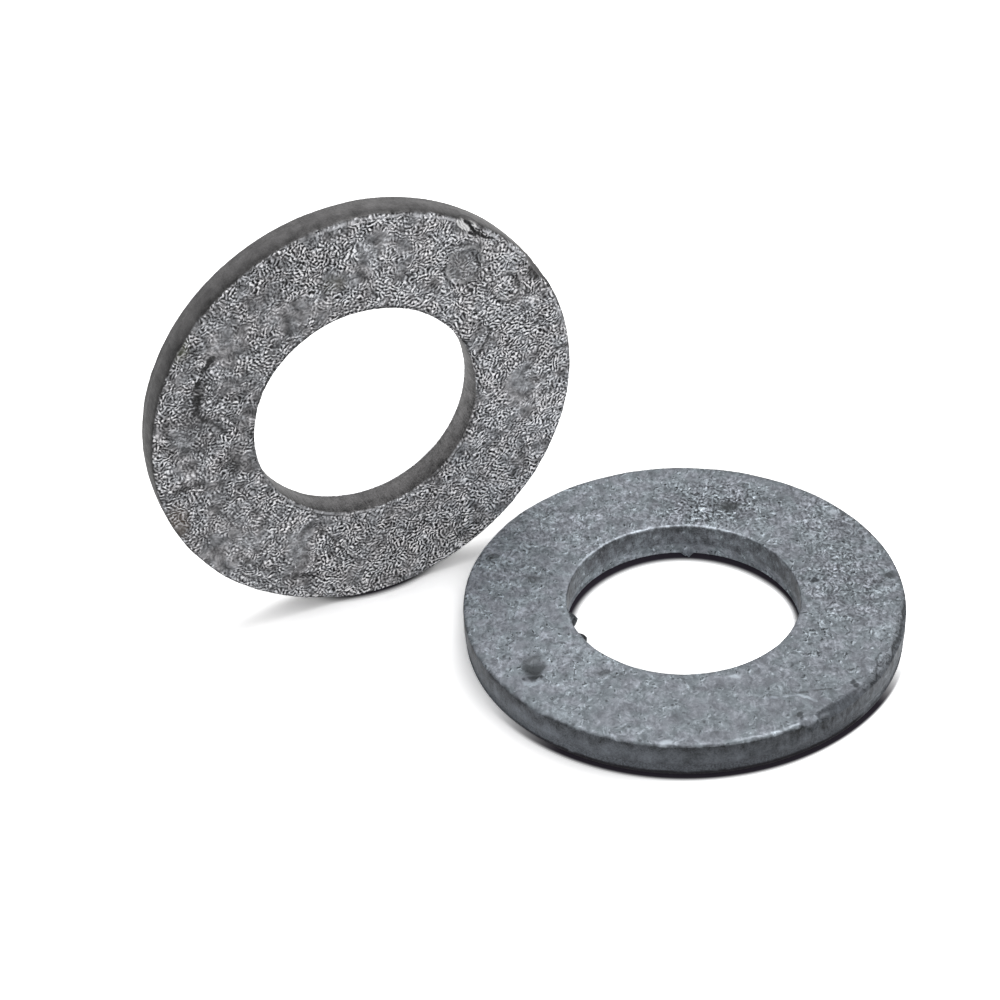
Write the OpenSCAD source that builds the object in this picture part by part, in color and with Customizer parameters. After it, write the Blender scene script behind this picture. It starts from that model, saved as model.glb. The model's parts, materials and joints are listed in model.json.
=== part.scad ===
// A pair of flat washers for 24 mm bolts: one lies on its face, its twin stands on its rim behind it.
// Each is one ring of steel plate, blanked and pierced in a press and then dipped in zinc.
// Every size is taken over the zinc. Both washers share one section, so they stay a matching pair.

/* [Washer] */
// Outside diameter
outside_d = 50; // [44:0.5:60]
// Bore diameter
bore_d = 26; // [20:0.5:30]
// Thickness
thickness = 4.2; // [3.6:0.1:6]

/* [Sheared edges] */
// Width of the rolled-over corner that blanking leaves round the upper rim
rim_roll_w = 0.55; // [0.3:0.05:1]
// Height of the rolled-over corner of the rim
rim_roll_h = 0.4; // [0.2:0.05:0.8]
// Height of the torn band below the rim's smooth land
rim_tear_h = 1.3; // [0.8:0.1:1.8]
// How far the rim's torn band draws in at its foot
rim_tear_in = 0.12; // [0.05:0.01:0.25]
// Width of the rolled-over corner that piercing leaves round the upper bore
bore_roll_w = 0.35; // [0.15:0.05:0.8]
// Height of the rolled-over corner of the bore
bore_roll_h = 0.3; // [0.15:0.05:0.6]
// Height of the torn band below the bore's smooth land
bore_tear_h = 1.2; // [0.8:0.1:1.6]
// How far the bore's torn band opens out at its foot
bore_tear_out = 0.15; // [0.05:0.01:0.25]
// Radius that the zinc leaves on both lower corners
foot_r = 0.25; // [0.1:0.05:0.4]

/* [Wear on the lying washer] */
// Distance that each worn flat reaches in from the rim
worn_in = 1; // [0.6:0.1:1.4]
// Slope of the worn flats, down towards the rim
worn_slope = 38; // [25:1:45]
// Bearing of the first worn flat
worn_start = 308; // [300:1:320]
// Angle from one worn flat to the next
worn_step = 17; // [12:1:20]
// Number of worn flats
worn_count = 3; // [1:1:4]
// Radius of the ball that fits the nick at the start of the worn rim
nick_ball_r = 1.3; // [0.8:0.1:2]
// Depth of the nick below the square corner
nick_depth = 0.7; // [0.4:0.05:1]
// Bearing of the nick
nick_bearing = 298; // [290:1:304]
// Radius of the ball that fits the bruise in the upper face
bruise_ball_r = 6; // [4:0.5:10]
// Depth of the bruise
bruise_depth = 0.14; // [0.05:0.01:0.25]
// Distance from the rim to the middle of the bruise
bruise_in = 4.8; // [3.5:0.1:8]
// Bearing of the bruise
bruise_bearing = 212; // [180:1:250]

/* [Wear on the upright washer] */
// Radius of the ball that fits the dent in the rim
dent_ball_r = 4; // [2.5:0.5:6]
// Depth of the dent below the square corner
dent_depth = 1; // [0.6:0.05:1.4]
// Bearing of the dent, counter-clockwise from the right
dent_bearing = 30; // [10:1:50]
// Radius of the ball that fits the gouge in the face's edge
gouge_ball_r = 1.4; // [0.8:0.1:2]
// Depth of the gouge below the square corner
gouge_depth = 0.75; // [0.4:0.05:1]
// Bearing of the gouge, counter-clockwise from the right
gouge_bearing = 57; // [52:1:75]

/* [Placing] */
// Turn of the upright washer's face from straight ahead towards the lying washer
upright_turn = 22; // [0:1:30]
// Bearing, from the lying washer's centre, of the place where the two come closest
nearest_bearing = 147; // [124:1:160]
// Gap between the two washers there, which leaves room to lay a thin plate on any face
gap = 1.1; // [0.3:0.1:4]

/* [Hidden] */
$fn = 128;
zinc = "#83888c";
corner_steps = 6;
outside_r = outside_d / 2;
bore_r = bore_d / 2;

// Points of a quarter ellipse about [r, z], from one angle to another
function corner(r, z, half_w, half_h, from, to) =
    [for (i = [0:corner_steps])
        let (a = from + (to - from) * i / corner_steps)
        [r + half_w * cos(a), z + half_h * sin(a)]];

// Section of the ring as [radius, height], counter-clockwise from the foot of the rim
section = concat(
    corner(outside_r - rim_tear_in - foot_r, foot_r, foot_r, foot_r, -90, 0),
    [[outside_r, rim_tear_h]],
    corner(outside_r - rim_roll_w, thickness - rim_roll_h, rim_roll_w, rim_roll_h, 0, 90),
    corner(bore_r + bore_roll_w, thickness - bore_roll_h, bore_roll_w, bore_roll_h, 90, 180),
    [[bore_r, bore_tear_h]],
    corner(bore_r + bore_tear_out + foot_r, foot_r, foot_r, foot_r, 180, 270)
);

// Plan directions of the upright washer: along its face, and behind it
along = [cos(upright_turn), sin(upright_turn)];
behind = [-sin(upright_turn), cos(upright_turn)];

// The washers come closest at the top of the lying washer's smooth land, where it is widest
land_top = thickness - rim_roll_h;
half_chord = sqrt(outside_r * outside_r - (outside_r - land_top) * (outside_r - land_top));
nearest = (outside_r + gap) * [cos(nearest_bearing), sin(nearest_bearing)];
upright_from_lying = nearest - half_chord * along + thickness / 2 * behind;

// How far the upright washer reaches from its middle, for a direction with these two shares
function reach(across, outward) =
    max([for (p = section) p[0] * across + (p[1] - thickness / 2) * outward]);

// Corners of the ground that the pair covers, from the lying washer's centre
high_x = max(outside_r, upright_from_lying[0] + reach(along[0], -behind[0]));
low_x = min(-outside_r, upright_from_lying[0] - reach(along[0], behind[0]));
high_y = max(outside_r, upright_from_lying[1] + reach(along[1], -behind[1]));
low_y = min(-outside_r, upright_from_lying[1] - reach(along[1], behind[1]));

// The pair is centred over the origin
lying_at = -[(low_x + high_x) / 2, (low_y + high_y) / 2];
upright_at = lying_at + upright_from_lying;

// The plain ring, with its foot on the ground and its rolled-over corners up
module ring() {
    rotate_extrude() polygon(section);
}

// A flat worn across the upper corner of the rim
module worn_flat(bearing) {
    rotate([0, 0, bearing])
        translate([outside_r - worn_in, 0, thickness])
            rotate([0, worn_slope, 0])
                translate([-outside_r / 2, -outside_r, 0])
                    cube([outside_r, 2 * outside_r, thickness]);
}

// A ball that bites into the square upper corner of the rim, along the line at 45 degrees
module corner_bite(bearing, ball_r, depth) {
    out = (ball_r - depth) * cos(45);
    rotate([0, 0, bearing])
        translate([outside_r + out, 0, thickness + out])
            sphere(r = ball_r);
}

// A ball that bites into the upper face
module face_bite(bearing, in, ball_r, depth) {
    rotate([0, 0, bearing])
        translate([outside_r - in, 0, thickness + ball_r - depth])
            sphere(r = ball_r);
}

module lying_washer() {
    color(zinc)
        translate(lying_at)
            difference() {
                ring();
                for (i = [0:worn_count - 1]) worn_flat(worn_start + i * worn_step);
                corner_bite(nick_bearing, nick_ball_r, nick_depth);
                face_bite(bruise_bearing, bruise_in, bruise_ball_r, bruise_depth);
            }
}

module upright_washer() {
    color(zinc)
        translate([upright_at[0], upright_at[1], outside_r])
            rotate([90, 0, upright_turn])
                translate([0, 0, -thickness / 2])
                    difference() {
                        ring();
                        corner_bite(dent_bearing, dent_ball_r, dent_depth);
                        corner_bite(gouge_bearing, gouge_ball_r, gouge_depth);
                    }
}

lying_washer();
upright_washer();
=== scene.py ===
"""A pair of galvanised flat washers: their zinc relief and finish, and the stage they are shown on."""
import json
import math
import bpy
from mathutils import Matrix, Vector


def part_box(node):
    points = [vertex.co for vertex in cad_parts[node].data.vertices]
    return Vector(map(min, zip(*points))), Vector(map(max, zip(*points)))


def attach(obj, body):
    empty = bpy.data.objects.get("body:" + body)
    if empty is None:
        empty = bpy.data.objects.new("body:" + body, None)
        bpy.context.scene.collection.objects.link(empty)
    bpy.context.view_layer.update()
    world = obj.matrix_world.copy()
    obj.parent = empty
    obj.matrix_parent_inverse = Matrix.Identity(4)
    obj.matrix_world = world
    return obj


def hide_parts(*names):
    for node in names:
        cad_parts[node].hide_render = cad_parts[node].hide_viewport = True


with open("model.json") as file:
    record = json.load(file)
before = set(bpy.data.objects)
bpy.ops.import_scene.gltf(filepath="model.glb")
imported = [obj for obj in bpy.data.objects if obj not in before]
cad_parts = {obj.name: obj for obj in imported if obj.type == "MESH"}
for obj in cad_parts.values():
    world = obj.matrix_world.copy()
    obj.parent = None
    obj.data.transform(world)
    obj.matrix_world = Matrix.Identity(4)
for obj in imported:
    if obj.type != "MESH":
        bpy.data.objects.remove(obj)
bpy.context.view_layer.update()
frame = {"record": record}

from types import SimpleNamespace

import bpy
import numpy as np
from mathutils import Matrix, Vector

bl_info = {
    "name": "Galvanised flat washers",
    "version": (1, 0, 0),
    "blender": (4, 5, 0),
    "location": "View3D > Sidebar > Washers",
    "description": "Models a pair of sheared and hot-dip galvanised flat washers, with their stage",
    "category": "Add Mesh",
}

MOUNTS = {mount["name"]: mount for mount in frame["record"]["mounts"]}
LYING_LOW, LYING_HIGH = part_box("lying_washer")
BORE = MOUNTS["lying_bore"]["dims"]["r_mm"] / 1000 * 2
MM = 0.001

# The rim's radius and the height of the upper face, in millimetres in each washer's own frame
RIM = 25.0
FACE = 4.2

# Flats worn across the upper corner of the lying washer's rim: how far in they reach, their slope and bearings
WORN_IN = 1.0
WORN_SLOPE = math.radians(38)
WORN_BEARINGS = (308, 325, 342)

# Steps of the mesh across the ring's section
RIM_STEP = 0.00021
BORE_STEP = 0.00025
UNDERSIDE_STEP = 0.0006

# Width of the photograph and the middle of the lying washer's face in it, in pixels, and the sensor's width in mm
FRAME = 1000
FACE_MIDDLE = (683.4, 596.3)
SENSOR = 36


def upright_pose():
    """Middle of the upright washer, and the turn of its face from straight ahead."""
    front = Vector(MOUNTS["upright_front_face"]["pos_m"])
    back = Vector(MOUNTS["upright_back_face"]["pos_m"])
    axis = Vector(MOUNTS["upright_bore"]["axis"])
    middle = (front + back) / 2
    middle.z = (LYING_HIGH.y - LYING_LOW.y) / 2
    return middle, math.atan2(axis.x, -axis.y)


def length(name, description, default, low, high, precision=5):
    """A length that a user may change between two limits."""
    return bpy.props.FloatProperty(
        name=name, description=description, default=default, min=low, max=high, precision=precision, unit="LENGTH")


class WasherSizes(bpy.types.PropertyGroup):
    """Sizes over the zinc, shared by both washers."""

    outside_diameter: length("Outside diameter", "Distance across the rim", LYING_HIGH.y - LYING_LOW.y, 0.044, 0.06)
    bore_diameter: length("Bore diameter", "Distance across the hole", BORE, 0.02, 0.03)
    thickness: length("Thickness", "Distance between the faces", LYING_HIGH.z - LYING_LOW.z, 0.0036, 0.006)
    rim_roll_width: length("Rim roll width", "Width of the rolled-over corner round the rim", 0.00055, 0.0003, 0.001)
    rim_roll_height: length("Rim roll height", "Height of the rolled-over corner round the rim", 0.0004, 0.0002, 0.0008)
    rim_tear_height: length("Rim tear height", "Height of the torn band at the foot of the rim", 0.0013, 0.0008, 0.0018)
    rim_tear_in: length("Rim tear depth", "How far the rim's torn band draws in at its foot", 0.00012, 0.00005, 0.00025)
    bore_roll_width: length(
        "Bore roll width", "Width of the rolled-over corner round the bore", 0.00035, 0.00015, 0.0008)
    bore_roll_height: length(
        "Bore roll height", "Height of the rolled-over corner round the bore", 0.0003, 0.00015, 0.0006)
    bore_tear_height: length(
        "Bore tear height", "Height of the torn band at the foot of the bore", 0.0012, 0.0008, 0.0016)
    bore_tear_out: length(
        "Bore tear depth", "How far the bore's torn band opens out at its foot", 0.00015, 0.00005, 0.00025)
    foot_radius: length("Foot radius", "Radius that the zinc leaves on both lower corners", 0.00025, 0.0001, 0.0004)
    face_step: length("Face step", "Width of the mesh rows across the upper face", 0.000185, 0.0001, 0.001, 6)
    quarter_steps: bpy.props.IntProperty(
        name="Quarter steps", description="Mesh columns in a quarter of the ring",
        default=180, min=24, max=200)


class ZincFinish(bpy.types.PropertyGroup):
    """Colours and strength of the zinc's finish."""

    lying_face: bpy.props.FloatVectorProperty(
        name="Lying face", description="Middle colour of the lying washer's dull blue-grey zinc",
        default=(0.275, 0.3, 0.33), min=0, max=1, subtype="COLOR")
    upright_face: bpy.props.FloatVectorProperty(
        name="Upright face", description="Middle colour of the upright washer's neutral grey zinc",
        default=(0.326, 0.328, 0.342), min=0, max=1, subtype="COLOR")
    # The walls' colours are much darker than the faces'; part of that darkness is painted shade.
    lying_wall: bpy.props.FloatVectorProperty(
        name="Lying walls", description="Colour of the lying washer's rim and bore",
        default=(0.082, 0.09, 0.102), min=0, max=1, subtype="COLOR")
    upright_wall: bpy.props.FloatVectorProperty(
        name="Upright walls", description="Colour of the upright washer's rim and bore",
        default=(0.125, 0.122, 0.123), min=0, max=1, subtype="COLOR")
    lying_grain: bpy.props.FloatProperty(
        name="Lying grain", description="Contrast of the lying washer's grain",
        default=0.1, min=0, max=1, subtype="FACTOR")
    upright_grain: bpy.props.FloatProperty(
        name="Upright grain", description="Contrast of the upright washer's coarse grain",
        default=0.9, min=0, max=1, subtype="FACTOR")


class StageSettings(bpy.types.PropertyGroup):
    """Light and camera."""

    camera_distance: length(
        "Camera distance", "From the lens to the middle of the lying washer's upper face", 0.293, 0.1, 1, 4)
    camera_elevation: bpy.props.FloatProperty(
        name="Camera elevation", description="Angle of the view above the ground",
        default=math.radians(36.9), min=0, max=math.radians(90), unit="ROTATION")
    camera_roll: bpy.props.FloatProperty(
        name="Camera roll", description="Turn of the camera about its line of sight",
        default=math.radians(-3.0), unit="ROTATION")
    lens: bpy.props.FloatProperty(
        name="Lens", description="Focal length on a sensor 36 mm wide",
        default=93.6, min=20, max=300, subtype="DISTANCE_CAMERA")
    sky: bpy.props.FloatProperty(
        name="Sky", description="Level of the even light from all round",
        default=0.62, min=0, max=2)


# Mesh tools

def alone(piece):
    """Makes one object the only selected and the active one."""
    bpy.ops.object.select_all(action="DESELECT")
    piece.select_set(True)
    bpy.context.view_layer.objects.active = piece


def points(piece):
    """The piece's vertices as rows of x, y, z."""
    flat = np.empty(len(piece.data.vertices) * 3)
    piece.data.vertices.foreach_get("co", flat)
    return flat.reshape(-1, 3)


def pick(piece, chosen):
    """Opens the piece in edit mode with only the chosen vertices selected."""
    mesh = piece.data
    mesh.vertices.foreach_set("select", chosen)
    mesh.edges.foreach_set("select", np.zeros(len(mesh.edges), bool))
    mesh.polygons.foreach_set("select", np.zeros(len(mesh.polygons), bool))
    bpy.ops.object.mode_set(mode="EDIT")
    if mesh.total_vert_sel == 0:
        raise RuntimeError(f"nothing was picked on {piece.name}")


def polar(radius, bearing, height):
    """A point of the washer from its radius, bearing in degrees and height."""
    angle = math.radians(bearing)
    return Vector((radius * math.cos(angle), radius * math.sin(angle), height))


def worn_normal(bearing):
    """Direction that a flat worn across the rim's upper corner faces."""
    return polar(math.sin(WORN_SLOPE), bearing, math.cos(WORN_SLOPE))


def push(piece, at, move, reach, falloff="SPHERE"):
    """Moves the vertex nearest to a point, and drags its neighbours within reach along."""
    away = np.linalg.norm(points(piece) - np.array(at), axis=1)
    pick(piece, away == away.min())
    bpy.ops.transform.translate(
        value=move, use_proportional_edit=True, proportional_edit_falloff=falloff, proportional_size=reach)
    bpy.ops.object.mode_set(mode="OBJECT")


def flatten(piece, at, normal):
    """Presses whatever stands beyond a plane flat onto it."""
    normal = normal.normalized()
    beyond = (points(piece) - np.array(at)) @ np.array(normal) > 0
    pick(piece, beyond)
    side = normal.cross(Vector((0, 0, 1))).normalized()
    axes = Matrix((side, normal.cross(side), normal)).transposed()
    bpy.ops.transform.resize(
        value=(1, 1, 0), orient_type="GLOBAL", orient_matrix=axes, orient_matrix_type="GLOBAL", center_override=at)
    bpy.ops.object.mode_set(mode="OBJECT")


def smooth(value, low, high):
    """Rises smoothly from 0 at low to 1 at high."""
    share = np.clip((value - low) / (high - low), 0, 1)
    return share * share * (3 - 2 * share)


def sink(piece, name, depth, weights, texture=None):
    """Lowers the surface by depth times weight, less where the texture is bright."""
    group = piece.vertex_groups.new(name=name)
    levels = np.round(np.clip(weights, 0, 1) * 50).astype(int)
    for level in np.unique(levels[levels > 0]):
        group.add(np.nonzero(levels == level)[0].tolist(), level / 50, "REPLACE")
    alone(piece)
    bpy.ops.object.modifier_add(type="DISPLACE")
    displace = piece.modifiers[-1]
    displace.name = name
    displace.vertex_group = name
    displace.direction = "NORMAL"
    displace.texture = texture
    displace.texture_coords = "LOCAL"
    displace.mid_level, displace.strength = (1, depth) if texture else (0, -depth)
    bpy.ops.object.modifier_apply(modifier=name)
    piece.vertex_groups.remove(piece.vertex_groups[name])
    if texture:
        bpy.data.textures.remove(texture)


def clouds(name, size, depth=2, hard=False):
    """A cloud texture for relief, with lumps of about the given size."""
    texture = bpy.data.textures.new(name, "CLOUDS")
    texture.noise_basis = "ORIGINAL_PERLIN"
    texture.noise_scale = size
    texture.noise_depth = depth
    texture.noise_type = "HARD_NOISE" if hard else "SOFT_NOISE"
    return texture


# The blank ring

def quarter(radius, height, half_width, half_height, start, steps):
    """Points of a quarter ellipse of the section, counter-clockwise from a start angle."""
    angles = [math.radians(start + 90 * i / steps) for i in range(steps + 1)]
    return [(radius + half_width * math.cos(a), height + half_height * math.sin(a)) for a in angles]


def section(sizes):
    """The ring's section as (radius, height), closed, from the foot of the rim and up its wall."""
    outer = sizes.outside_diameter / 2
    inner = sizes.bore_diameter / 2
    top = sizes.thickness
    foot = sizes.foot_radius
    corners = [
        quarter(outer - sizes.rim_tear_in - foot, foot, foot, foot, -90, 3),
        [(outer, sizes.rim_tear_height)],
        quarter(outer - sizes.rim_roll_width, top - sizes.rim_roll_height,
                sizes.rim_roll_width, sizes.rim_roll_height, 0, 4),
        quarter(inner + sizes.bore_roll_width, top - sizes.bore_roll_height,
                sizes.bore_roll_width, sizes.bore_roll_height, 90, 3),
        [(inner, sizes.bore_tear_height)],
        quarter(inner + sizes.bore_tear_out + foot, foot, foot, foot, 180, 3),
    ]
    steps = [RIM_STEP, RIM_STEP, sizes.face_step, BORE_STEP, BORE_STEP, UNDERSIDE_STEP]
    path = []
    for i, corner in enumerate(corners):
        start = Vector(corner[-1])
        end = Vector(corners[(i + 1) % len(corners)][0])
        count = math.ceil((end - start).length / steps[i])
        path += corner[:-1] + [tuple(start.lerp(end, k / count)) for k in range(count)]
    return path + [path[0]]


def blank_ring(name, sizes):
    """The plain ring, lying at the origin: its section is drawn point by point, spun and mirrored."""
    path = section(sizes)
    bpy.ops.object.select_all(action="DESELECT")
    bpy.ops.mesh.primitive_plane_add(size=sizes.foot_radius, location=(path[0][0], 0, path[0][1]))
    ring = bpy.context.object
    ring.name = ring.data.name = name
    bpy.ops.object.transform_apply(location=True, rotation=True, scale=True)
    bpy.ops.object.mode_set(mode="EDIT")
    bpy.ops.mesh.select_mode(type="VERT")
    bpy.ops.mesh.merge(type="CENTER")
    for here, ahead in zip(path, path[1:]):
        bpy.ops.mesh.extrude_region_move(
            TRANSFORM_OT_translate={"value": (ahead[0] - here[0], 0, ahead[1] - here[1])})
    bpy.ops.mesh.select_all(action="SELECT")
    bpy.ops.mesh.spin(steps=sizes.quarter_steps, angle=math.radians(90), center=(0, 0, 0), axis=(0, 0, 1))
    bpy.ops.object.mode_set(mode="OBJECT")
    bpy.ops.object.modifier_add(type="MIRROR")
    mirror = ring.modifiers[-1]
    mirror.use_axis = (True, True, False)
    mirror.merge_threshold = 1e-6
    bpy.ops.object.modifier_apply(modifier=mirror.name)
    bpy.ops.object.mode_set(mode="EDIT")
    bpy.ops.mesh.select_all(action="SELECT")
    bpy.ops.mesh.remove_doubles(threshold=1e-6)
    bpy.ops.mesh.normals_make_consistent(inside=False)
    bpy.ops.object.mode_set(mode="OBJECT")
    bpy.ops.object.shade_smooth()
    return ring


def zones(piece, sizes):
    """The vertices, their heights, and how much each belongs to the upper face, the walls and the torn bands."""
    place = points(piece)
    radius = np.hypot(place[:, 0], place[:, 1])
    height = place[:, 2]
    outer = sizes.outside_diameter / 2
    inner = sizes.bore_diameter / 2
    face = smooth(height, sizes.thickness - 0.0009, sizes.thickness - 0.0003)
    rim = smooth(radius, outer - 0.001, outer - 0.0003)
    bore = 1 - smooth(radius, inner + 0.0003, inner + 0.001)
    torn = (rim + bore) * (1 - smooth(height, sizes.bore_tear_height, sizes.rim_tear_height + 0.0003))
    return place, height, face, np.maximum(rim, bore), torn


# The two washers

def lying_wear(washer, sizes):
    """Worn rim, nick, bruise, zinc lumps and a curl of burr on the lying washer."""
    outer = sizes.outside_diameter / 2
    inner = sizes.bore_diameter / 2
    top = sizes.thickness
    for bearing in WORN_BEARINGS:
        flatten(washer, polar(outer - WORN_IN * MM, bearing, top), worn_normal(bearing))

    # Nick at the start of the worn rim
    push(washer, polar(outer - 0.15 * MM, 298, top - 0.1 * MM), polar(-0.3 * MM, 298, -0.34 * MM), 1.1 * MM)
    push(washer, polar(outer - 0.2 * MM, 302.5, top - 0.1 * MM), polar(-0.12 * MM, 303, -0.1 * MM), 0.9 * MM, "SMOOTH")

    # Bruise in the upper face
    place = points(washer)
    away = np.hypot(place[:, 0] + 17.13 * MM, (place[:, 1] + 10.7 * MM) * 0.8)
    up = smooth(place[:, 2], top - 0.0004, top - 0.0002)
    sink(washer, "bruise", 0.16 * MM, up * (1 - smooth(away, 0.55 * MM, 1.25 * MM)))

    # Two zinc lumps on the bore and a swelling beside them
    push(washer, polar(inner, 189.5, top - 0.75 * MM), polar(-0.95 * MM, 189.5, 0), 1.0 * MM, "ROOT")
    push(washer, polar(inner, 205.5, top - 0.7 * MM), polar(-0.7 * MM, 205.5, 0), 0.8 * MM, "ROOT")
    push(washer, polar(inner, 183, top - 1.5 * MM), polar(-0.2 * MM, 183, 0), 0.6 * MM, "SMOOTH")

    # Curl of burr at the back of the bore's foot
    push(washer, polar(inner + 0.2 * MM, 82.0, 0.25 * MM), polar(-1.25 * MM, 80.0, 0.02 * MM), 0.62 * MM, "SMOOTH")
    push(washer, polar(inner + 0.2 * MM, 84.6, 0.35 * MM), polar(-0.8 * MM, 84.6, 0), 0.6 * MM, "SMOOTH")


def upright_wear(washer, sizes):
    """Dent in the rim, gouge in the face's edge, and old craters on the upright washer's face."""
    outer = sizes.outside_diameter / 2
    top = sizes.thickness
    push(washer, polar(outer - 0.15 * MM, 30, top - 0.1 * MM), polar(-0.6 * MM, 30, -0.6 * MM), 2.5 * MM)
    push(washer, polar(outer - 0.15 * MM, 57, top - 0.1 * MM), polar(-0.4 * MM, 57, -0.4 * MM), 1.25 * MM)
    push(washer, polar(outer - 0.6 * MM, 52.5, top), polar(0, 0, -0.22 * MM), 0.8 * MM, "SMOOTH")

    # Each crater is a shallow floor inside an uneven groove
    place = points(washer)
    up = smooth(place[:, 2], top - 0.0004, top - 0.0002)
    for x, y, size, width in ((12.3, 15.5, 2.0, 0.3), (17.3, 11.3, 1.65, 0.28), (14.6, 13.1, 1.0, 0.25)):
        across, along = place[:, 0] - x * MM, place[:, 1] - y * MM
        angle = np.arctan2(along, across)
        away = np.hypot(across, along) * (1 + 0.12 * np.sin(2 * angle + x) + 0.08 * np.sin(3 * angle + y))
        groove = 1 - smooth(np.abs(away - size * MM), 0.1 * MM, width * MM)
        groove *= 0.55 + 0.45 * np.sin(angle + x)
        floor = 0.45 * (1 - smooth(away, (size - 0.3) * MM, size * MM))
        sink(washer, "crater", 0.12 * MM, up * np.maximum(groove, floor))


def zinc_relief(washer, sizes, grain, standing):
    """Swells, lumps, grain and pits of the zinc, all sunk below the washer's outline."""
    place, height, face, wall, torn = zones(washer, sizes)
    if standing:
        tear = 0.05 * MM
        off_ground = smooth(place[:, 1] + sizes.outside_diameter / 2, 0.0002, 0.0012)
        all_over = off_ground * (1 - 0.3 * (1 - smooth(height, 0.0001, 0.0005)))
    else:
        tear = 0.13 * MM
        all_over = off_ground = smooth(height, 0, 0.0003)
    sink(washer, "swell", 0.16 * MM, all_over * np.maximum(0.5 * face, wall), clouds("swell", 5 * MM))
    sink(washer, "lumps", 0.12 * MM, all_over * (0.45 + 0.4 * grain * face + 0.3 * torn), clouds("lumps", 1.5 * MM))
    sink(washer, "grain", 0.09 * MM, all_over * (0.35 + 0.65 * grain) * np.maximum(face, 0.35 * wall),
         clouds("grain", 0.5 * MM, 1, True))
    sink(washer, "tears", tear, off_ground * torn, clouds("tears", 0.7 * MM, 2, True))


def place_piece(piece, at, turn):
    """Turns and moves a finished washer, and keeps its place in its mesh."""
    alone(piece)
    piece.location = at
    piece.rotation_euler = turn
    bpy.ops.object.transform_apply(location=True, rotation=True, scale=True)


# Materials

class Tree:
    """Adds nodes to a new material or world and links them."""

    def __init__(self, owner):
        owner.use_nodes = True
        self.owner = owner
        self.nodes = owner.node_tree.nodes
        self.links = owner.node_tree.links
        self.nodes.clear()

    def add(self, kind, inputs=None, **settings):
        """A node with its settings, and with a value or another node's output on each named input."""
        node = self.nodes.new(kind)
        for key, value in settings.items():
            setattr(node, key, value)
        for key, value in (inputs or {}).items():
            if isinstance(value, bpy.types.NodeSocket):
                self.links.new(value, node.inputs[key])
            else:
                node.inputs[key].default_value = value
        return node

    def math(self, operation, value, *others, clamp=False):
        """A number made from one value, or from several in turn."""
        for other in others or (0,):
            value = self.add("ShaderNodeMath", {0: value, 1: other}, operation=operation, use_clamp=clamp).outputs[0]
        return value

    def times(self, *values):
        return self.math("MULTIPLY", *values)

    def plus(self, *values):
        return self.math("ADD", *values)

    def less(self, *values):
        return self.math("SUBTRACT", *values)

    def most(self, *values):
        return self.math("MAXIMUM", *values)

    def rest(self, share):
        """What a share leaves of 1."""
        return self.math("SUBTRACT", 1, share)

    def vector(self, operation, a, b=(0, 0, 0), c=(0, 0, 0)):
        """A vector, or a number where the operation gives a length, a distance or a dot product."""
        node = self.add("ShaderNodeVectorMath", {0: a, 1: b, 2: c}, operation=operation)
        return node.outputs["Value" if operation in ("LENGTH", "DISTANCE", "DOT_PRODUCT") else "Vector"]

    def scaled(self, vector, level):
        """A vector times a level, or a colour made darker or lighter by it."""
        return self.add("ShaderNodeVectorMath", {0: vector, "Scale": level}, operation="SCALE").outputs["Vector"]

    def toward(self, where, side):
        """How far a point lies toward one side."""
        return self.vector("DOT_PRODUCT", where, side)

    def band(self, value, low, high, start=0, end=1):
        """Goes smoothly from start at low to end at high."""
        return self.add(
            "ShaderNodeMapRange", {"Value": value, "From Min": low, "From Max": high, "To Min": start, "To Max": end},
            interpolation_type="SMOOTHSTEP").outputs[0]

    def fade(self, value, low, high):
        """Falls smoothly from 1 at low to 0 at high."""
        return self.band(value, low, high, 1, 0)

    def mix(self, share, a, b):
        """Two colours mixed by a share."""
        a, b = (tone if isinstance(tone, bpy.types.NodeSocket) else (*tone[:3], 1) for tone in (a, b))
        return self.add("ShaderNodeMix", {0: share, 6: a, 7: b}, data_type="RGBA").outputs[2]

    def noise(self, where, scale, detail=2, roughness=0.5, distortion=0):
        """Cloudy noise about a level of 0.5."""
        inputs = {"Vector": where, "Scale": scale, "Detail": detail, "Roughness": roughness, "Distortion": distortion}
        return self.add("ShaderNodeTexNoise", inputs).outputs[0]

    def bend(self, where, scale, amount):
        """Coordinates pushed about by noise, so that what is drawn on them wanders."""
        noise = self.add("ShaderNodeTexNoise", {"Vector": where, "Scale": scale, "Detail": 2}).outputs["Color"]
        return self.vector("ADD", where, self.scaled(self.vector("SUBTRACT", noise, (0.5, 0.5, 0.5)), amount))

    def washer_space(self, at, turn):
        """Object coordinates turned into millimetres in the washer's own frame, with its face up."""
        there = self.add("ShaderNodeTexCoord").outputs["Object"]
        inputs = {"Vector": there, "Location": at, "Rotation": turn, "Scale": (MM, MM, MM)}
        return self.add("ShaderNodeMapping", inputs, vector_type="TEXTURE").outputs[0]

    def spot(self, where, at, half, soft):
        """1 in an oval of two half sizes about a point on the face, with a soft edge."""
        arm = self.vector("SUBTRACT", where, (*at, FACE))
        away = self.vector("LENGTH", self.vector("MULTIPLY", arm, (1 / half[0], 1 / half[1], 0.5)))
        return self.fade(away, 1 - soft, 1 + soft)

    def ring(self, where, at, size, width):
        """1 on a circle about a point on the face, falling to 0 at width."""
        away = self.vector("DISTANCE", where, (*at, FACE))
        return self.fade(self.math("ABSOLUTE", self.less(away, size)), 0, width)

    def stroke(self, where, start, end, width):
        """1 along the line between two points of the face, falling to 0 at width."""
        a = Vector((*start, FACE))
        span = Vector((*end, FACE)) - a
        arm = self.vector("SUBTRACT", where, a)
        along = self.math("MULTIPLY", self.toward(arm, span / span.length_squared), 1, clamp=True)
        away = self.vector("LENGTH", self.vector("SUBTRACT", arm, self.scaled(span, along)))
        return self.fade(away, width * 0.3, width)


def tint(colour, level):
    """A colour made darker or lighter."""
    return tuple(min(1, c * level) for c in colour)


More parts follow.
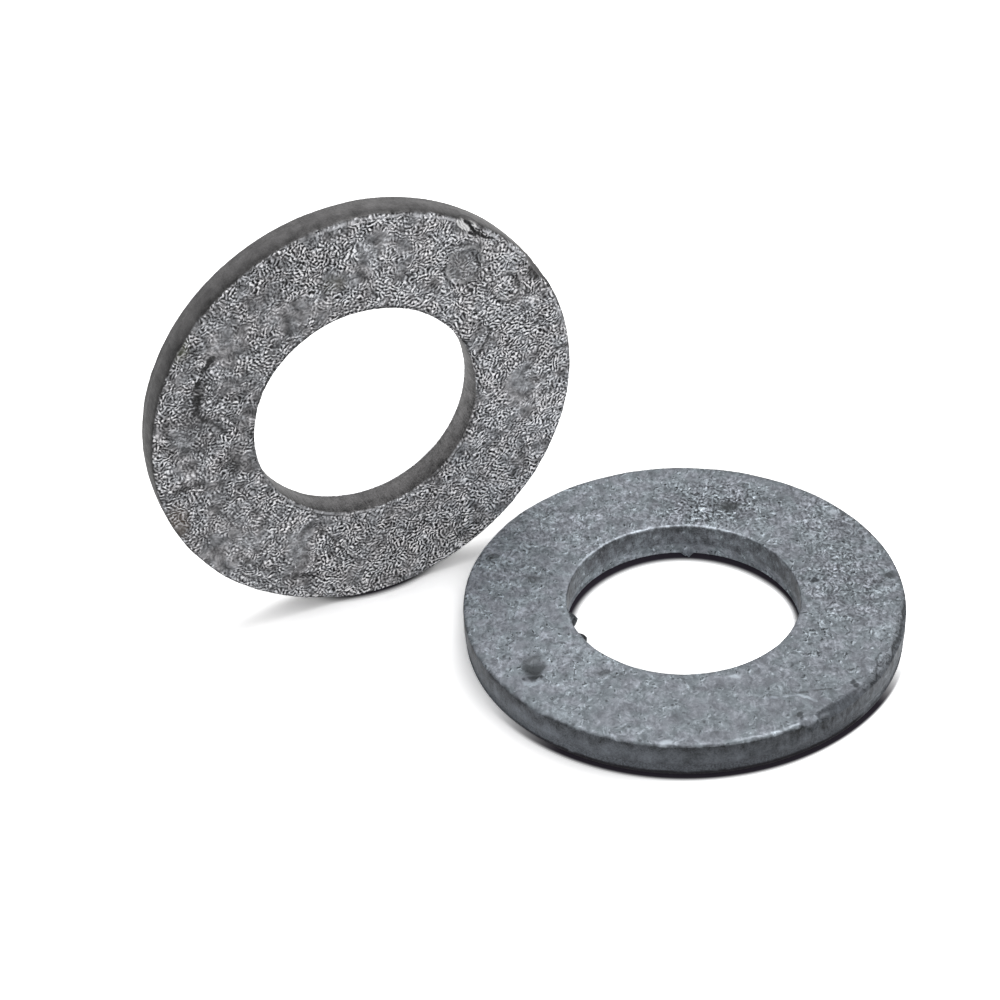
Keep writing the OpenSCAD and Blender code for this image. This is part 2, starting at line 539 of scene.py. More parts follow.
class Zinc(Tree):
    """Galvanised zinc on one washer, in millimetres. What more than one step needs is kept on it."""

    def __init__(self, name, at, turn, look):
        super().__init__(bpy.data.materials.new(name))
        self.look = look
        self.here = self.washer_space(at, turn)
        x, y, self.z = self.add("ShaderNodeSeparateXYZ", {0: self.here}).outputs
        self.radius = self.vector("LENGTH", self.add("ShaderNodeCombineXYZ", {0: x, 1: y}).outputs[0])
        self.bearing = self.math("ARCTAN2", y, x)
        self.inside = self.fade(self.radius, 18, 20)
        self.wander = self.less(self.noise(self.here, 0.9, 3), 0.5)
        self.edge = self.times(self.wander, 0.5)
        self.half_edge = self.times(self.wander, 0.25)
        self.bent = self.bend(self.here, 0.8, 1)
        self.plan = self.vector("MULTIPLY_ADD", self.bent, (1, 1, 0), (0, 0, FACE))
        self.sparse = self.noise(self.here, 0.45)

    def leaning(self, side, low, high, start, end):
        """Goes from start to end between two distances toward one side of the washer."""
        return self.band(self.toward(self.here, side), low, high, start, end)

    def worn_flat(self, bearing):
        """1 on a flat worn across the upper corner of the rim."""
        arm = self.vector("SUBTRACT", self.here, polar(RIM - WORN_IN, bearing, FACE))
        lift = self.toward(arm, worn_normal(bearing))
        return self.band(self.plus(lift, self.times(self.edge, 0.3)), -0.28, -0.12)

    def find_walls(self):
        """Finds the walls of the rim and the bore, the worn rim, and the flat that its wear starts with."""
        look, edge = self.look, self.edge
        outer = self.times(
            self.band(self.plus(self.radius, edge), *look.rim_starts), self.fade(self.plus(self.z, edge), 3.8, 4.1))
        if look.flats:
            flats = [self.worn_flat(bearing) for bearing in look.flats]
            turned = self.plus(self.times(self.bearing, 180 / math.pi), 360)
            degrees = self.math("MODULO", self.plus(turned, self.times(edge, 4)), 360)
            self.first = self.times(flats[0], self.band(degrees, 298.6, 299.4))
            outer = self.most(outer, self.times(self.first, self.fade(degrees, 311, 318)))
            bared = self.times(self.band(degrees, 313, 319, 0, 0.4), self.band(degrees, 346, 352, 1, 0.45))
            outer = self.times(outer, self.rest(bared))
            self.worn = self.times(self.most(flats[1], flats[2]), self.band(degrees, 311, 316))
        inner = self.fade(self.plus(self.radius, self.half_edge), 13.02, 13.3)
        under_edge = self.less(self.z, self.band(self.radius, 17, 21, *look.wall_tops))
        between = self.times(self.fade(under_edge, -0.25, 0), self.band(self.z, 0.15, 0.4))
        self.wall = self.most(outer, inner, between)

    def find_height(self, grain):
        """Finds the height of the faces' grain, clouding and pits, from 0 to 1."""
        look = self.look
        drained = self.vector("MULTIPLY", self.bent, (1, look.drain, 1))
        worms = self.add("ShaderNodeTexGabor", {
            "Vector": drained, "Scale": 1.1, "Frequency": look.worm_count, "Anisotropy": look.flow,
            "Orientation": self.times(self.noise(self.here, 0.13, 1), 9)}, gabor_type="2D").outputs["Value"]
        fine = self.noise(drained, look.fine_scale, 2, 0.6)
        mixed = self.times(self.less(worms, fine), look.worms)
        self.coarse = self.less(self.band(self.plus(mixed, fine), 0.3, 0.7), 0.5)
        self.areas = self.noise(self.bent, 0.3, 4, 0.6)
        strength = self.times(self.band(self.areas, 0.38, 0.5, 0.3, 1), grain)
        for *place, amount in look.rough:
            strength = self.plus(strength, self.times(self.spot(self.here, *place), amount))
        self.cloud = self.less(self.noise(drained, 0.95, 4, look.cloud_rough), 0.5)
        self.strength = self.times(self.most(strength, look.least), self.band(self.cloud, -0.13, 0.13, 0.6, 1.4))

        # Specks: a dark pit, and a painted highlight on one side of it, the same side everywhere, as if the speck stood
        # up toward the light
        among = self.band(self.sparse, 0.42, 0.58, look.pits_least, 1)
        pitted = self.band(self.noise(drained, 1.9), 0.6, 0.68)
        beside = self.vector("ADD", drained, (-0.12, 0.16, 0))
        lifted = self.band(self.noise(beside, 1.9), 0.58, 0.68, 0, 0.8)
        relief = self.times(self.less(lifted, pitted), among)

        self.calm = self.leaning(*look.calm)
        paper = self.times(self.band(self.areas, 0.4, 0.58, 0.5, 1.25), look.paper, self.calm)
        height = self.plus(
            self.times(self.coarse, self.strength),
            self.times(self.cloud, look.cloud),
            self.times(self.less(fine, 0.5), paper),
            self.times(relief, look.specks, self.band(self.calm, 0, 1, 0.5, 1)))
        self.height = self.math("ADD", height, 0.5, clamp=True)

    def face_colour(self, base):
        """Colour of the faces, lighter where the grain stands up, with pits, worn flats and marks."""
        look = self.look
        level = self.plus(self.times(self.height, 1.46 * look.contrast), 1 - 0.73 * look.contrast)
        level = self.math("POWER", self.most(level, 0.1), 2.2)
        # Painted light: the face is made lighter toward one side and darker toward the other.
        broad = self.times(
            self.band(self.areas, 0.3, 0.7, *look.broad),
            self.leaning(look.light_side, -25, 25, 1 - look.lean, 1 + look.lean),
            self.band(self.calm, 0, 1, 0.9, 1))
        shades = [tuple(c * k for c, k in zip(base, hue)) for hue in look.hues]
        colour = self.scaled(self.mix(self.band(self.sparse, 0.38, 0.62), *shades), self.times(level, broad))
        cells = self.add("ShaderNodeTexVoronoi", {"Vector": self.here, "Scale": 0.85, "Randomness": 1})
        pits = self.times(self.fade(cells.outputs["Distance"], 0.1, 0.24), self.band(self.sparse, 0.5, 0.6, 0, 0.7))
        colour = self.mix(pits, colour, tint(base, 0.25))
        if look.flats:
            fissures = self.noise(self.vector("MULTIPLY", self.bent, (1, 1, 0.3)), 0.6, 3, 0.6, 1)
            cracks = self.band(self.math("ABSOLUTE", self.less(fissures, 0.5)), 0.006, 0.03, 0.9, 0)
            worn_tone = self.mix(self.band(fissures, 0.4, 0.6), tint(base, 0.75), tint(base, 1.5))
            worn_tone = self.mix(cracks, worn_tone, tint(base, 0.15))
            colour = self.mix(self.times(self.worn, 0.7), colour, worn_tone)

        broken = self.band(self.wander, -0.12, 0.03, 0.45, 1)
        ways = {
            "spot": (self.spot, self.bent, 1),
            "ring": (self.ring, self.bent, broken),
            "stroke": (self.stroke, self.bent, broken),
            "groove": (self.stroke, self.plan, self.band(self.z, 1.2, 2.4)),
        }
        for shape, rows in look.marks:
            draw, where, share = ways[shape]
            for *place, shade, amount in rows:
                mask = self.times(draw(where, *place), amount, share)
                colour = self.mix(mask, colour, shade if isinstance(shade, tuple) else (shade,) * 3)
        return colour

    def wall_colour(self, base):
        """Colour of the walls: dark under the crest, lighter in the torn band, and painted shade almost black at the
        foot.
        """
        look = self.look
        around = self.add("ShaderNodeCombineXYZ", {
            0: self.times(self.bearing, 38), 1: self.times(self.z, 0.5), 2: self.radius}).outputs[0]
        self.streaks = self.less(self.noise(around, 1.3, 3, 0.65), 0.5)
        scored = self.leaning(look.scored_side, 17, 23, 0, 2.2)
        scored = self.most(scored, self.times(self.inside, look.bore_scores))
        scored = self.times(self.streaks, self.plus(scored, look.streaks))
        self.gritty = self.noise(self.here, 5.2, 3, 0.7)
        grit = self.times(self.less(self.gritty, 0.5), self.band(self.inside, 0, 1, 1, 2.3))
        blotches = self.times(self.plus(self.cloud, self.less(self.sparse, 0.5), grit), look.blotches)
        # Painted light: the rim's wall is made lighter toward one side and darker toward the other, and the bore's wall
        # takes a level of its own.
        lean = self.band(self.inside, 0, 1, self.leaning(*look.wall_lean), look.bore_level)
        level = self.plus(self.band(self.z, 4.05, 1.6, 0.5, 1.16), self.plus(scored, blotches))
        if look.flats:
            level = self.plus(level, self.times(self.first, 0.8))
        level = self.times(self.most(level, 0.2), lean)
        self.torn = self.band(self.plus(self.z, self.times(self.wander, 0.9)), 1.2, 1.55, look.torn, 0)
        torn_level = self.times(self.band(self.gritty, 0.4, 0.62, 0.75, 1.9), lean)
        colour = self.mix(self.torn, self.scaled(base, level), self.scaled(base, torn_level))

        # Painted shade: the foot of each wall is painted almost black, higher and darker toward the shaded side, and
        # lower in the bore. The curl of burr is drawn lighter and kept out of that painted shade.
        foot_top = self.times(
            self.leaning(look.dark_side, -6, 22, 0.12, look.foot), self.band(self.inside, 0, 1, 1, 0.4))
        foot = self.less(self.z, self.plus(foot_top, self.half_edge))
        foot = self.times(
            self.band(foot, 0, 0.3, look.foot_dark, 0), self.leaning(look.dark_side, 6, 17, 0.3, 1))
        if look.curl:
            curl = self.times(self.spot(self.plan, *look.curl), self.fade(self.z, 1.2, 1.7))
            foot = self.times(foot, self.rest(curl))
            colour = self.mix(self.times(curl, 0.75), colour, tint(base, 3))
        colour = self.mix(foot, colour, look.foot_tone)
        for bearing, height, size, dark in look.wall_pits:
            away = self.plus(self.vector("DISTANCE", self.here, polar(13.1, bearing, height)), self.edge)
            colour = self.mix(self.band(away, size, size * 1.6, 0.6, 0), colour, tint(base, 2))
            colour = self.mix(self.band(away, size * 0.6, size, dark, 0), colour, tint(base, 0.3))
        return colour

    def bright_lines(self, colour, base):
        """Adds the lines where the crest of the rim and the lip of the bore catch the light."""
        beads = self.times(self.band(self.wander, -0.1, 0.06, 0.15, 1), self.band(self.z, 3.8, 3.95))
        look = self.look
        lines = ((look.crest, self.edge, 24.45, 0.22), (look.lip, self.half_edge, 13.32, 0.2))
        for line, swing, radius, width in lines:
            away = self.math("ABSOLUTE", self.less(self.plus(self.radius, swing), radius))
            bright = self.times(self.fade(away, 0.05, width), self.leaning(*line), beads)
            if look.flats and line is look.crest:
                bright = self.times(bright, self.rest(self.most(self.worn, self.first)))
            colour = self.mix(bright, colour, tint(base, 2.4))
        return colour

    def finish(self, colour):
        """The whole material: grained and duller on the faces, scratched on the walls."""
        rough_face = self.band(self.height, 0.2, 0.9, 0.62, 0.32)
        rough_wall = self.band(self.streaks, -0.2, 0.2, 0.5, 0.38)
        rough = self.add("ShaderNodeMix", {0: self.wall, 2: rough_face, 3: rough_wall}, data_type="FLOAT").outputs[0]
        on_face = self.times(self.strength, self.rest(self.wall))
        grained = self.add("ShaderNodeBump", {"Strength": on_face, "Distance": 0.00016, "Height": self.coarse})
        scratches = self.plus(self.times(self.streaks, 0.4), self.gritty)
        on_wall = self.times(self.wall, self.plus(self.torn, 0.3))
        scratched = self.add("ShaderNodeBump", {
            "Strength": on_wall, "Distance": 0.00013, "Height": scratches, "Normal": grained.outputs[0]})
        surface = self.add("ShaderNodeBsdfPrincipled", {
            "Base Color": colour, "Roughness": rough, "Metallic": 0.6, "Normal": scratched.outputs[0]})
        self.add("ShaderNodeOutputMaterial", {"Surface": surface.outputs[0]})
        return self.owner


def zinc_surface(name, at, turn, face, wall, grain, look):
    """Galvanised zinc: grain, patches and pits on the faces, and smoother darker walls with a torn band."""
    zinc = Zinc(name, at, turn, look)
    zinc.find_walls()
    zinc.find_height(grain)
    colour = zinc.mix(zinc.wall, zinc.face_colour(face), zinc.wall_colour(wall))
    return zinc.finish(zinc.bright_lines(colour, face))


# Patches of coarser or smoother grain on each face: place, half sizes, softness, and change of the grain
LYING_ROUGH = (
    ((4.8, 16.8), (5.5, 4), 0.6, 0.6), ((18, 12.5), (4, 4.5), 0.7, 0.3),
    ((18.5, 1.5), (4.5, 6), 0.7, 0.35), ((-12, 15.5), (8, 5), 0.8, 0.16),
    ((-20, 5.5), (5, 5), 0.8, 0.16),
)

UPRIGHT_ROUGH = (
    ((19, 4), (5, 6), 0.7, 0.3), ((4, -19), (9, 4.5), 0.7, 0.45),
    ((-6.5, 20.5), (5, 2.5), 0.7, 0.3), ((-15.4, 13.5), (2.2, 2.8), 0.6, -0.65),
    ((-7.4, 15.4), (4.2, 1.6), 0.6, -0.6), ((2.3, 20.7), (2.2, 1.6), 0.6, -0.6),
    ((-16.8, -12), (4.2, 3.6), 0.7, -0.5), ((-9.5, -15.5), (1.8, 2.6), 0.6, -0.6),
    ((18.9, -2.5), (2.4, 3), 0.6, -0.55), ((-20.5, -1.5), (2, 2), 0.6, -0.4),
)

# Tones that several marks share
SCAR = (0.03, 0.034, 0.038)
STAIN = (0.06, 0.066, 0.07)
BARED = (0.58, 0.64, 0.7)
# Grey of the cracks, and of the painted shade in the craters' grooves
CRACK = 0.02
GLINT = (0.6, 0.6, 0.61)

# Marks in the order in which they are drawn. A spot has its middle, half sizes and softness, a ring its middle,
# radius and width, a stroke or groove its ends and width, and each then its colour or grey and its strength.
LYING_MARKS = (
    ("spot", (
        # The first two spots, on this row and the next, darken the bruise as painted shade.
        ((-17.4, -10.6), (1.2, 2.1), 0.35, (0.085, 0.094, 0.1), 0.75),
        ((-17.6, -11.3), (0.9, 1.1), 0.4, (0.045, 0.05, 0.055), 0.65), ((6.8, 16.4), (1.5, 0.9), 0.5, STAIN, 0.85),
        ((10.7, -20.8), (0.4, 0.5), 0.5, (0.05, 0.056, 0.06), 0.85),
        ((14.9, 1.65), (0.45, 0.5), 0.4, (0.03, 0.035, 0.04), 0.9),
        ((23.6, 2), (0.45, 0.6), 0.4, (0.05, 0.055, 0.06), 0.8),
        ((16.9, -15.9), (0.32, 0.4), 0.4, (0.04, 0.044, 0.05), 0.85),
        ((17.1, -16.6), (0.34, 0.4), 0.4, (0.035, 0.04, 0.045), 0.85), ((-9.8, -12.2), (0.9, 0.6), 0.6, STAIN, 0.7),
        ((-21.3, 9.1), (0.7, 0.7), 0.6, STAIN, 0.7), ((-16.6, 4.7), (1.1, 0.7), 0.6, (0.07, 0.077, 0.08), 0.6),
        ((18.8, 14.3), (0.5, 0.5), 0.5, (0.55, 0.6, 0.66), 0.8), ((13.9, -20), (0.5, 0.5), 0.5, BARED, 0.85),
        ((-3.8, -24.1), (0.7, 0.4), 0.5, BARED, 0.85), ((4.4, -14), (0.7, 0.4), 0.5, BARED, 0.8),
    )),
    ("ring", (
        ((14.9, 1.65), 0.7, 0.2, (0.36, 0.4, 0.45), 0.5),
    )),
    ("stroke", (
        # The first stroke is the bruise's lower edge in painted shade, the second a painted highlight on its lip.
        ((-18.4, -12.6), (-16.6, -12.6), 0.4, (0.02, 0.022, 0.026), 0.8),
        ((-18.3, -13.5), (-16.7, -13.4), 0.55, (0.5, 0.56, 0.62), 0.8),
        ((7.4, -17.9), (10.9, -17.5), 0.3, (0.43, 0.48, 0.54), 0.7),
        ((10.9, -17.5), (12.6, -18.7), 0.35, (0.52, 0.58, 0.64), 0.8),
        ((9.5, -17.1), (14.6, -16.9), 0.28, (0.07, 0.075, 0.08), 0.7),
        ((-3.4, 13.1), (-3.2, 14.9), 0.3, (0.5, 0.56, 0.62), 0.6),
        ((-8, 18.4), (0.5, 18.2), 0.16, (0.4, 0.45, 0.5), 0.5),
    )),
    ("groove", (
        ((24.4, -3), (23.5, -7.1), 0.17, SCAR, 0.65), ((23.5, -7.1), (22.3, -10), 0.2, SCAR, 0.7),
        ((22.3, -10), (21.7, -12.1), 0.18, SCAR, 0.7), ((21.7, -12.1), (22.3, -13.3), 0.19, (0.05, 0.055, 0.06), 0.4),
        ((22.3, -10.4), (23.4, -9.9), 0.19, SCAR, 0.75), ((20.5, -11.4), (19.9, -12.4), 0.16, (0.04, 0.045, 0.05), 0.5),
        ((19.9, -12.4), (19.8, -14.5), 0.16, (0.04, 0.045, 0.05), 0.5), ((19.8, -14.5), (18.9, -15.8), 0.18, SCAR, 0.7),
        ((18.9, -15.8), (18.7, -17.3), 0.22, SCAR, 0.8), ((17.6, -17.7), (18.2, -18.4), 0.15, (0.4, 0.44, 0.48), 0.7),
        ((16.5, -18.3), (17, -19.2), 0.22, SCAR, 0.75),
    )),
)

UPRIGHT_MARKS = (
    ("spot", (
        ((-19.6, 5.5), (1.6, 3.2), 0.6, (0.1, 0.1, 0.105), 0.55), ((-16, -1.7), (0.9, 1.4), 0.5, 0.04, 0.75),
        ((-12.4, 1.5), (1.1, 1.6), 0.6, 0.04, 0.6), ((-20.4, 15.2), (1.3, 1.7), 0.5, (0.12, 0.13, 0.085), 0.55),
        ((-2.5, 17.6), (1.3, 1), 0.6, (0.1, 0.1, 0.08), 0.5), ((-23, -7.3), (1.2, 2.2), 0.5, (0.15, 0.12, 0.095), 0.5),
        ((12.4, 15.4), (1.7, 1.9), 0.3, (0.2, 0.2, 0.205), 0.6),
        # On the next row, the first spot darkens the dent in the rim as painted shade.
        ((21.6, 12.4), (1.5, 1.6), 0.3, (0.035, 0.033, 0.032), 0.92), ((12.9, 20.5), (1.2, 0.9), 0.5, 0.1, 0.6),
    )),
    ("ring", (
        # Painted shade along the craters' grooves, and painted highlights on their lips.
        ((12.25, 15.25), 2.05, 0.5, CRACK, 0.75), ((12.75, 15.6), 2.15, 0.32, GLINT, 0.5),
        ((11.7, 15.2), 3.2, 0.3, 0.04, 0.4), ((17.3, 11.3), 1.65, 0.45, CRACK, 0.85),
        ((17.6, 11.6), 1.75, 0.26, (0.5, 0.5, 0.51), 0.6), ((14.6, 13.1), 1, 0.3, 0.03, 0.75),
    )),
    ("stroke", (
        ((-16.8, 12.6), (-18.6, 9.6), 0.6, CRACK, 0.95), ((-18.6, 9.6), (-19.4, 6), 0.7, CRACK, 0.95),
        ((-19.4, 6), (-16, 2.5), 0.42, 0.03, 0.8), ((-8.2, -12.7), (-5.4, -15.6), 0.4, CRACK, 0.9),
        ((-7.7, -12.7), (-4.9, -15.6), 0.25, GLINT, 0.8), ((-5.4, -15.6), (-3.5, -19.3), 0.42, CRACK, 0.9),
        ((-4.9, -15.6), (-3, -19.3), 0.25, GLINT, 0.8), ((-11.5, -19.3), (-7.5, -19.9), 0.55, CRACK, 0.9),
        ((-22.6, -3.2), (-19.6, -3), 0.5, CRACK, 0.9), ((15.3, 6.4), (10.6, -1), 0.4, CRACK, 0.8),
        ((13.6, 9.6), (15.3, 6.4), 0.4, CRACK, 0.8), ((20, 13.4), (22.6, 9.4), 0.3, 0.6, 0.7),
    )),
    ("groove", (
        ((12, 21.2), (12.7, 20), 0.2, 0.95, 0.95), ((12.45, 21.1), (13.1, 19.8), 0.2, 0.95, 0.95),
        ((12.9, 20.9), (13.5, 19.7), 0.22, 0.95, 0.95), ((13.35, 20.8), (13.95, 19.5), 0.28, 0.012, 0.95),
        ((13.8, 20.7), (14.35, 19.8), 0.18, 0.8, 0.9), ((13.5, 19.4), (16.2, 18.1), 0.32, 0.015, 0.9),
    )),
    ("ring", (
        # Painted shade along the edge of the bore, where its rolled corner turns away from the light.
        ((0, 0), 13.4, 0.24, 0.03, 0.8),
    )),
    ("stroke", (
        ((16.4, 18), (19.3, 14.8), 0.32, 0.015, 0.9), ((16, 17.7), (18.9, 14.6), 0.22, 0.6, 0.8),
    )),
)

# What makes the two finishes differ, in millimetres. A side is a direction in the washer's plan, and is followed
# by the distances along it between which a value changes, and by that value's ends.
LYING_LOOK = SimpleNamespace(
    drain=0.7, fine_scale=2.6, worms=0.35, worm_count=2, flow=0, least=0.03,
    cloud=0.66, cloud_rough=0.66, paper=0.42, specks=0.36, pits_least=0.3, contrast=1,
    broad=(0.88, 1.12), hues=((1.015, 0.995, 1.012), (0.975, 1.005, 1)),
    calm=((0, -1, 0), 9, 18, 1, 0.3), light_side=(-0.98, -0.2, 0), lean=0.12,
    rim_starts=(24.25, 24.7), wall_tops=(-1, -1), flats=WORN_BEARINGS,
    streaks=0.3, scored_side=(0.85, -0.53, 0), bore_scores=1.9, bore_level=1.05,
    blotches=1.7, torn=0.7, wall_lean=((-0.95, -0.3, 0), 5, 23, 1, 1.4),
    dark_side=(0.26, -0.97, 0), foot=0.25, foot_dark=0.95, foot_tone=(0.014, 0.012, 0.016),
    curl=((1.65, 12.2), (0.9, 1.1), 0.3), wall_pits=((145, 1.8, 0.5, 0.9), (134, 1.5, 0.4, 0.3)),
    crest=((0.45, -0.89, 0), 22.6, 24, 0, 0.55), lip=((-0.17, 0.98, 0), 6.5, 11.5, 0, 0.85),
    rough=LYING_ROUGH, marks=LYING_MARKS)
UPRIGHT_LOOK = SimpleNamespace(
    drain=1, fine_scale=4.4, worms=0.6, worm_count=2.1, flow=0.2, least=0.15,
    cloud=1, cloud_rough=0.56, paper=0.2, specks=0.16, pits_least=0.2, contrast=1.38,
    broad=(0.76, 1.24), hues=((1.02, 1, 0.99), (0.985, 1, 1.01)),
    calm=((0, -1, 0), 0, 1, 1, 1), light_side=(0.96, -0.22, 0), lean=0.23,
    rim_starts=(24.45, 24.75), wall_tops=(3.95, 3.2), flats=(),
    streaks=0.4, scored_side=(0, 0, 0), bore_scores=0.9, bore_level=1.3,
    blotches=1.1, torn=0.15, wall_lean=((0.3, 0.95, 0), -12, 24, 0.26, 1.36),
    dark_side=(0, -1, 0), foot=0.2, foot_dark=0.5, foot_tone=(0.03, 0.029, 0.028),
    curl=(), wall_pits=(),
    crest=((0.6, 0.8, 0), 12, 22, 0, 0.6), lip=((-0.5, -0.86, 0), 6.5, 11.5, 0, 0.45),
    rough=UPRIGHT_ROUGH, marks=UPRIGHT_MARKS)


# Operators

def finished_washer(context, name, wear, standing, at, turn, look):
    """One washer in its place, from the blank ring to its finish."""
    sizes, finish = context.scene.washer_sizes, context.scene.washer_zinc
    face, wall, grain = (getattr(finish, f"{name}_{part}") for part in ("face", "wall", "grain"))
    washer = blank_ring(f"{name}_washer_zinc", sizes)
    wear(washer, sizes)
    zinc_relief(washer, sizes, grain, standing)
    place_piece(washer, at, turn)
    washer.data.materials.append(zinc_surface(f"{name}_zinc_finish", at, turn, face, wall, grain, look))
    return washer


class WASHER_OT_lying(bpy.types.Operator):
    """Models the lying washer"""

    bl_idname = "washer.lying"
    bl_label = "Lying washer"

    def execute(self, context):
        middle = (LYING_LOW + LYING_HIGH) / 2
        at = Vector((middle.x, middle.y, LYING_LOW.z))
        washer = finished_washer(context, "lying", lying_wear, False, at, (0, 0, 0), LYING_LOOK)
        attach(washer, "root")
        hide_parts("lying_washer")
        return {"FINISHED"}


class WASHER_OT_upright(bpy.types.Operator):
    """Models the upright washer"""

    bl_idname = "washer.upright"
    bl_label = "Upright washer"

    def execute(self, context):
        middle, yaw = upright_pose()
        front = Vector((math.sin(yaw), -math.cos(yaw), 0))
        at = middle - front * context.scene.washer_sizes.thickness / 2
        turn = (math.radians(90), 0, yaw)
        washer = finished_washer(context, "upright", upright_wear, True, at, turn, UPRIGHT_LOOK)
        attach(washer, "root")
        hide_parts("upright_washer")
        return {"FINISHED"}


class WASHER_OT_stage(bpy.types.Operator):
    """Sets the floor, the light and the camera"""

    bl_idname = "washer.stage"
    bl_label = "Stage"

    def execute(self, context):
        settings = context.scene.washer_stage
        bpy.ops.object.select_all(action="DESELECT")
        bpy.ops.mesh.primitive_plane_add(size=3, location=(0, 0, 0))
        floor = context.object
        floor.name = "stage_floor"
        floor.data.materials.append(floor_surface())
        lamp("key", (0.16, 0.2, 0.7), 0.55, 0.38)
        lamp("fill", (0.05, -0.65, 0.38), 0.4, 0.28)
        world_light(settings.sky)
        camera(context, settings)
        context.scene.view_settings.view_transform = "Standard"
        return {"FINISHED"}


def floor_surface():
    """White floor that keeps the washers' shadows, with painted contact shadows as a darker line where each one meets
    it, painted soft shadows beside them, and painted light that whitens it further toward the lying washer's right.
    """
    tree = Tree(bpy.data.materials.new("stage_white"))
    path = tree.add("ShaderNodeLightPath").outputs
    mirrored = tree.most(path["Is Glossy Ray"], path["Is Transmission Ray"])
    white = tree.mix(mirrored, (0.8, 0.8, 0.8), (1, 1, 1))
    middle = (LYING_LOW + LYING_HIGH) / 2
    here = tree.washer_space((middle.x, middle.y, 0), (0, 0, 0))
    radius = tree.vector("LENGTH", here)

    def facing(side):
        """1 straight toward one side of the lying washer, and 0 across it."""
        return tree.math("DIVIDE", tree.toward(here, side), radius)

    # Light that is left by the painted contact shadows: the dark line in front of the lying washer, the one at the back
    # of its bore, and the one under the upright washer
    front = tree.times(tree.band(facing((0.14, -0.99, 0)), 0.28, 0.72), tree.fade(radius, 25.25, 25.95))
    front = tree.times(tree.rest(front), tree.band(radius, 20, 22))
    deeper = tree.band(tree.toward(here, (-0.03, 1, 0)), -1, 12.5, 0, 0.84)
    hole = tree.fade(tree.plus(radius, deeper), 12.1, 13.3)
    foot, yaw = upright_pose()
    stood = tree.washer_space((foot.x, foot.y, 0), (0, 0, yaw))
    stood = tree.vector("LENGTH", tree.vector("MULTIPLY", stood, (1 / 8, 1 / 3.2, 1)))
    contact = tree.times(tree.most(front, hole), tree.band(stood, 0.62, 1))

    # Light that is left by the painted soft shadow on the lying washer's left, and by the shade beside the upright
    # washer, painted from ambient occlusion
    left = tree.times(tree.band(facing((-0.74, -0.67, 0)), 0.62, 0.97), tree.band(radius, 18, 20))
    soft = tree.rest(tree.times(left, tree.band(radius, 24.8, 34, 0.32, 0)))
    covered = tree.add("ShaderNodeAmbientOcclusion", {"Distance": 0.011, "Normal": (0.52, 0.42, 0.74)}, samples=4)
    covered = tree.band(covered.outputs["AO"], 0.3, 0.8, 0.38, 0)
    aside = tree.rest(tree.times(tree.band(radius, 24, 34), covered))

    open_light = tree.times(contact, tree.times(soft, aside))
    # Painted light: the floor is made whiter toward the lying washer's right, where it hides the real shadow; the dark
    # colour below is that of the painted shadows.
    right = tree.band(facing((0.96, -0.28, 0)), 0.55, 0.95, 1, 1.7)
    seen = tree.mix(open_light, (0.035, 0.03, 0.04), tree.scaled((1.9, 1.9, 1.9), right))
    surface = tree.add("ShaderNodeBsdfDiffuse", {"Color": tree.mix(path["Is Camera Ray"], white, seen)})
    tree.add("ShaderNodeOutputMaterial", {"Surface": surface.outputs[0]})
    return tree.owner


def lamp(name, at, size, level):
    """A square soft lamp aimed at the pair, which lights a surface that faces it to the given level."""
    at = Vector(at)
    bpy.ops.object.light_add(type="AREA", location=at)
    light = bpy.context.object
    light.name = light.data.name = name
    light.rotation_euler = at.to_track_quat("Z", "Y").to_euler()
    light.data.shape = "SQUARE"
    light.data.size = size
    light.data.energy = level * math.pi ** 2 * at.length_squared


def world_light(level):
    """Even light from all round, and white behind everything."""
    world = bpy.data.worlds.new("stage_world")
    bpy.context.scene.world = world
    tree = Tree(world)
    even = tree.add("ShaderNodeBackground", {"Strength": level}).outputs[0]
    white = tree.add("ShaderNodeBackground", {"Color": (1, 1, 1, 1), "Strength": 1}).outputs[0]
    seen = tree.add("ShaderNodeLightPath").outputs["Is Camera Ray"]
    light = tree.add("ShaderNodeMixShader", {0: seen, 1: even, 2: white}).outputs[0]
    tree.add("ShaderNodeOutputWorld", {0: light})


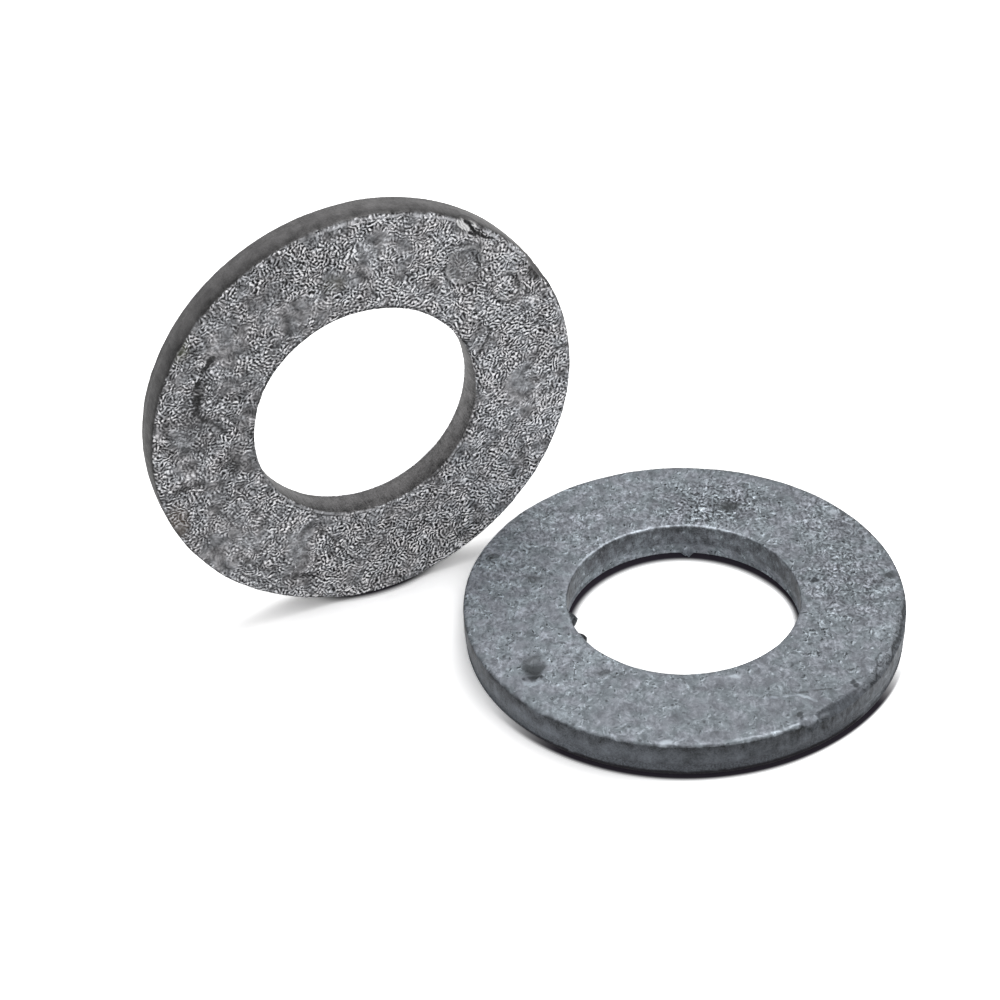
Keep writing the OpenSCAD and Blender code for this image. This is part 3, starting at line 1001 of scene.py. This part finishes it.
def camera(context, settings):
    """The photograph's view: the lying washer's upper face sits right of and below the middle of the picture."""
    lift, roll = settings.camera_elevation, settings.camera_roll
    back = Vector((0, -math.cos(lift), math.sin(lift)))
    level_up = Vector((0, math.sin(lift), math.cos(lift)))
    right = Vector((math.cos(roll), 0, 0)) + level_up * math.sin(roll)
    up = level_up * math.cos(roll) - Vector((math.sin(roll), 0, 0))
    target = Vector(((LYING_LOW.x + LYING_HIGH.x) / 2, (LYING_LOW.y + LYING_HIGH.y) / 2, LYING_HIGH.z))
    pixel = SENSOR / settings.lens / FRAME * settings.camera_distance
    across, down = (place - FRAME / 2 for place in FACE_MIDDLE)
    at = target - right * across * pixel + up * down * pixel + back * settings.camera_distance
    data = bpy.data.cameras.new("photo_camera")
    data.lens = settings.lens
    data.sensor_width = SENSOR
    data.clip_start = 0.01
    data.clip_end = 20
    view = bpy.data.objects.new("photo_camera", data)
    context.scene.collection.objects.link(view)
    view.matrix_world = Matrix.Translation(at) @ Matrix((right, up, back)).transposed().to_4x4()
    context.scene.camera = view


class WASHER_PT_panel(bpy.types.Panel):
    """Lists the pieces and the stage"""

    bl_label = "Flat washers"
    bl_idname = "WASHER_PT_panel"
    bl_space_type = "VIEW_3D"
    bl_region_type = "UI"
    bl_category = "Washers"

    def draw(self, context):
        layout = self.layout
        for group in (context.scene.washer_sizes, context.scene.washer_zinc, context.scene.washer_stage):
            box = layout.box()
            for name in group.bl_rna.properties.keys():
                if name not in ("rna_type", "name"):
                    box.prop(group, name)
        for operator in (WASHER_OT_lying, WASHER_OT_upright, WASHER_OT_stage):
            layout.operator(operator.bl_idname)


CLASSES = (
    WasherSizes, ZincFinish, StageSettings,
    WASHER_OT_lying, WASHER_OT_upright, WASHER_OT_stage, WASHER_PT_panel)


def register():
    for kind in CLASSES:
        bpy.utils.register_class(kind)
    bpy.types.Scene.washer_sizes = bpy.props.PointerProperty(type=WasherSizes)
    bpy.types.Scene.washer_zinc = bpy.props.PointerProperty(type=ZincFinish)
    bpy.types.Scene.washer_stage = bpy.props.PointerProperty(type=StageSettings)


def unregister():
    for name in ("washer_sizes", "washer_zinc", "washer_stage"):
        delattr(bpy.types.Scene, name)
    for kind in reversed(CLASSES):
        bpy.utils.unregister_class(kind)


def main():
    register()
    bpy.ops.washer.lying()
    bpy.ops.washer.upright()
    bpy.ops.washer.stage()


if __name__ == "__main__":
    main()
